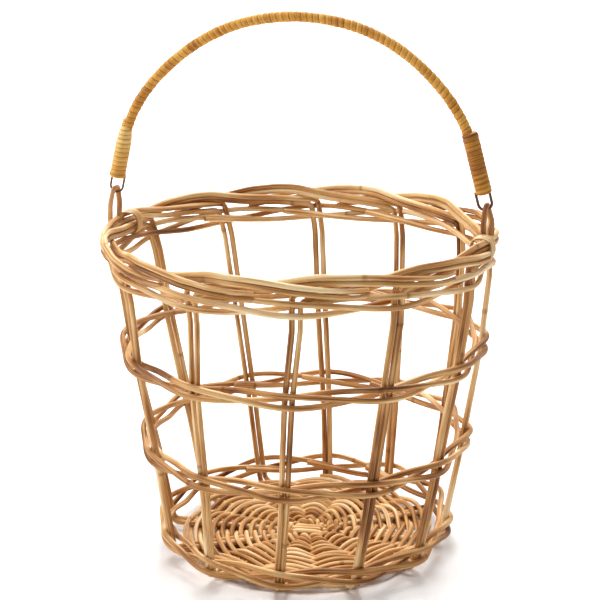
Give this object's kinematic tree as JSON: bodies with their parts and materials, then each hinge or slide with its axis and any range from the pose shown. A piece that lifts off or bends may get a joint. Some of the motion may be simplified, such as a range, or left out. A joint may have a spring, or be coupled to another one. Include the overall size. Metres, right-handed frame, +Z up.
{
  "type": "egg collection basket",
  "caption": "Open round basket of woven cane rods with a flat woven base, spaced waled bands, a braided border and a wrapped bow handle that swings on two loops.",
  "frame": {"origin": "on the floor, at the middle of the base", "axes": "+Z up; the bow handle lies in the XZ plane and its rings hang at +X and -X; +Y points to the back"},
  "size_m": [0.2528, 0.2476, 0.345],
  "materials": {
    "cane": "semi-matte natural cane",
    "base_cane": "semi-matte natural cane",
    "stake_cane": "semi-matte natural cane",
    "lashing_cane": "satin flat cane",
    "ring_cane": "satin cane, darker",
    "wrap_cane": "satin flat cane, golden",
    "wire": "dark brown coated wire"
  },
  "bodies": {
    "basket": {"base_stick_1": "base_cane", "base_stick_2": "base_cane", "base_stick_3": "base_cane", "base_stick_4": "base_cane", "base_stick_5": "base_cane", "base_stick_6": "base_cane", "base_weaver_upper": "base_cane", "base_weaver_lower": "base_cane", "stake_01_a": "stake_cane", "stake_01_b": "stake_cane", "stake_02_a": "stake_cane", "stake_02_b": "stake_cane", "stake_03_a": "stake_cane", "stake_03_b": "stake_cane", "stake_04_a": "stake_cane", "stake_04_b": "stake_cane", "stake_05_a": "stake_cane", "stake_05_b": "stake_cane", "stake_06_a": "stake_cane", "stake_06_b": "stake_cane", "stake_07_a": "stake_cane", "stake_07_b": "stake_cane", "stake_08_a": "stake_cane", "stake_08_b": "stake_cane", "stake_09_a": "stake_cane", "stake_09_b": "stake_cane", "stake_10_a": "stake_cane", "stake_10_b": "stake_cane", "stake_11_a": "stake_cane", "stake_11_b": "stake_cane", "stake_12_a": "stake_cane", "stake_12_b": "stake_cane", "foot_wale_strand_1": "cane", "foot_wale_strand_2": "cane", "foot_wale_strand_3": "cane", "lower_wale_strand_1": "cane", "lower_wale_strand_2": "cane", "lower_wale_strand_3": "cane", "middle_wale_strand_1": "cane", "middle_wale_strand_2": "cane", "middle_wale_strand_3": "cane", "top_wale_strand_1": "cane", "top_wale_strand_2": "cane", "top_wale_strand_3": "cane", "lashing_left": "lashing_cane", "lashing_right": "lashing_cane"},
    "ring_left": {"ring_left": "ring_cane"},
    "ring_right": {"ring_right": "ring_cane"},
    "handle": {"handle_core": "stake_cane", "handle_wrap": "wrap_cane", "end_wrap_left": "wrap_cane", "end_wrap_right": "wrap_cane", "wire_eye_left": "wire", "wire_eye_right": "wire"}
  },
  "joints": [
    {"name": "ring_left_tilt", "type": "hinge", "parent": "basket", "child": "ring_left", "pos_m": [-0.121, 0, 0.2075], "axis": [1, 0, 0], "range_deg": [-20, 20]},
    {"name": "ring_right_tilt", "type": "hinge", "parent": "basket", "child": "ring_right", "pos_m": [0.121, 0, 0.2075], "axis": [1, 0, 0], "range_deg": [-20, 20]},
    {"name": "handle_swing", "type": "hinge", "parent": "ring_left", "child": "handle", "pos_m": [-0.1192, 0, 0.2281], "axis": [1, 0, 0], "range_deg": [-75, 75]}
  ],
  "couplings": [
    {"joint": "ring_right_tilt", "follows": "ring_left_tilt", "ratio": 1}
  ]
}
